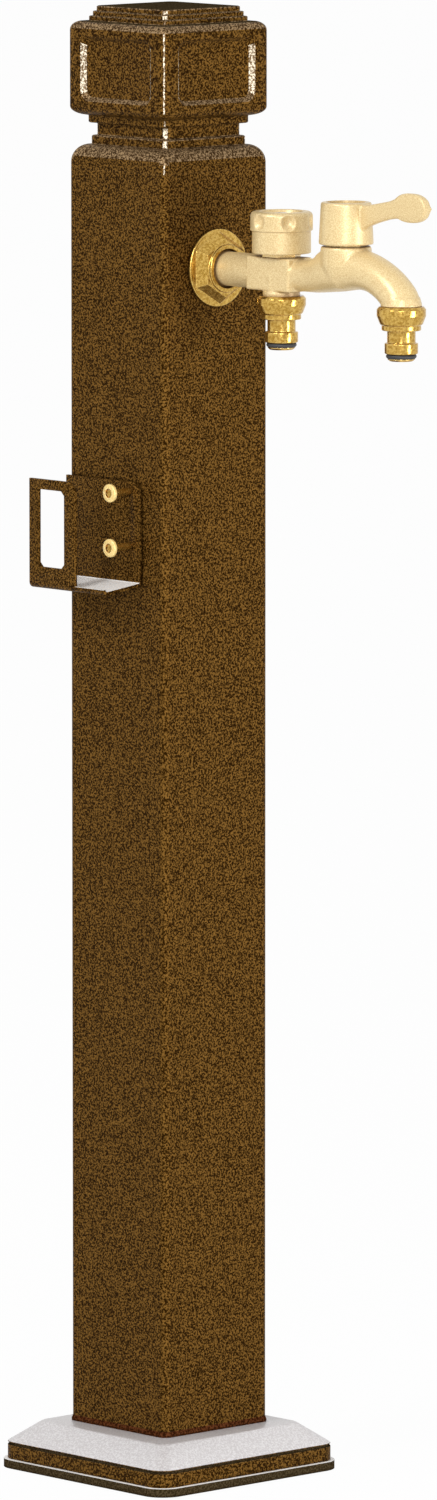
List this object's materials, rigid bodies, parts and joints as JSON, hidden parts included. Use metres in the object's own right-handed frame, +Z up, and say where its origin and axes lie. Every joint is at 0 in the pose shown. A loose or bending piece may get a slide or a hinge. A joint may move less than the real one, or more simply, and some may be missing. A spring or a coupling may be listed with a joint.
{
  "type": "garden standpipe",
  "caption": "Square coated garden standpipe with a screw valve outlet and a lever ball valve outlet, hose nipples, a hose bracket with pegs and a base for anchoring.",
  "frame": {"origin": "centre of the underside of the ground plate, on the column's axis", "axes": "+Z up along the column, +X out of the column's face that carries the tap, -Y out of the face that carries the hose bracket"},
  "size_m": [0.283, 0.142, 0.8354],
  "materials": {
    "bronze_coat": "textured bronze powder coat",
    "cast_brass": "satin, sand cast",
    "polished_brass": "polished",
    "machined_brass": "machined",
    "stainless_steel": "brushed",
    "chromed_ball": "polished",
    "black_rubber": "matt",
    "white_seal": "matt"
  },
  "bodies": {
    "standpipe": {"ground_plate": "bronze_coat", "base_cover": "bronze_coat", "column_tube": "bronze_coat", "column_cap": "bronze_coat", "foot_fitting": "machined_brass", "lower_pipe_nut": "machined_brass", "riser_pipe": "stainless_steel", "upper_pipe_nut": "machined_brass", "pipe_olives": "machined_brass", "tap_elbow": "machined_brass", "tail_washer": "black_rubber", "tail_locknut": "machined_brass", "wall_flange": "polished_brass", "tap_body": "cast_brass", "spindle_bonnet": "machined_brass", "inlet_seat": "white_seal", "outlet_seat": "white_seal", "stem_bonnet": "machined_brass", "side_nipple": "polished_brass", "side_washer": "black_rubber", "side_o_ring": "black_rubber", "spout_nipple": "polished_brass", "spout_washer": "black_rubber", "spout_o_ring": "black_rubber", "hose_bracket": "bronze_coat", "bracket_pegs": "polished_brass", "peg_nuts": "stainless_steel"},
    "knob": {"valve_spindle": "machined_brass", "spindle_o_ring": "black_rubber", "tap_knob": "cast_brass", "knob_screw": "stainless_steel"},
    "jumper": {"valve_jumper": "machined_brass", "jumper_washer": "black_rubber"},
    "lever": {"valve_ball": "chromed_ball", "ball_stem": "machined_brass", "stem_o_ring": "black_rubber", "lever_handle": "cast_brass", "lever_screw": "stainless_steel"}
  },
  "joints": [
    {"name": "knob_turn", "type": "hinge", "parent": "standpipe", "child": "knob", "pos_m": [0.0935, 0, 0.69], "axis": [0, 0, 1], "range_deg": [0, 720]},
    {"name": "jumper_rise", "type": "slide", "parent": "standpipe", "child": "jumper", "axis": [0, 0, 1], "range_m": [0, 0.004]},
    {"name": "lever_turn", "type": "hinge", "parent": "standpipe", "child": "lever", "pos_m": [0.146, 0, 0.69], "axis": [0, 0, 1], "range_deg": [-90, 0]}
  ],
  "couplings": [
    {"joint": "jumper_rise", "follows": "knob_turn", "m_per_rad": 0.000318}
  ]
}
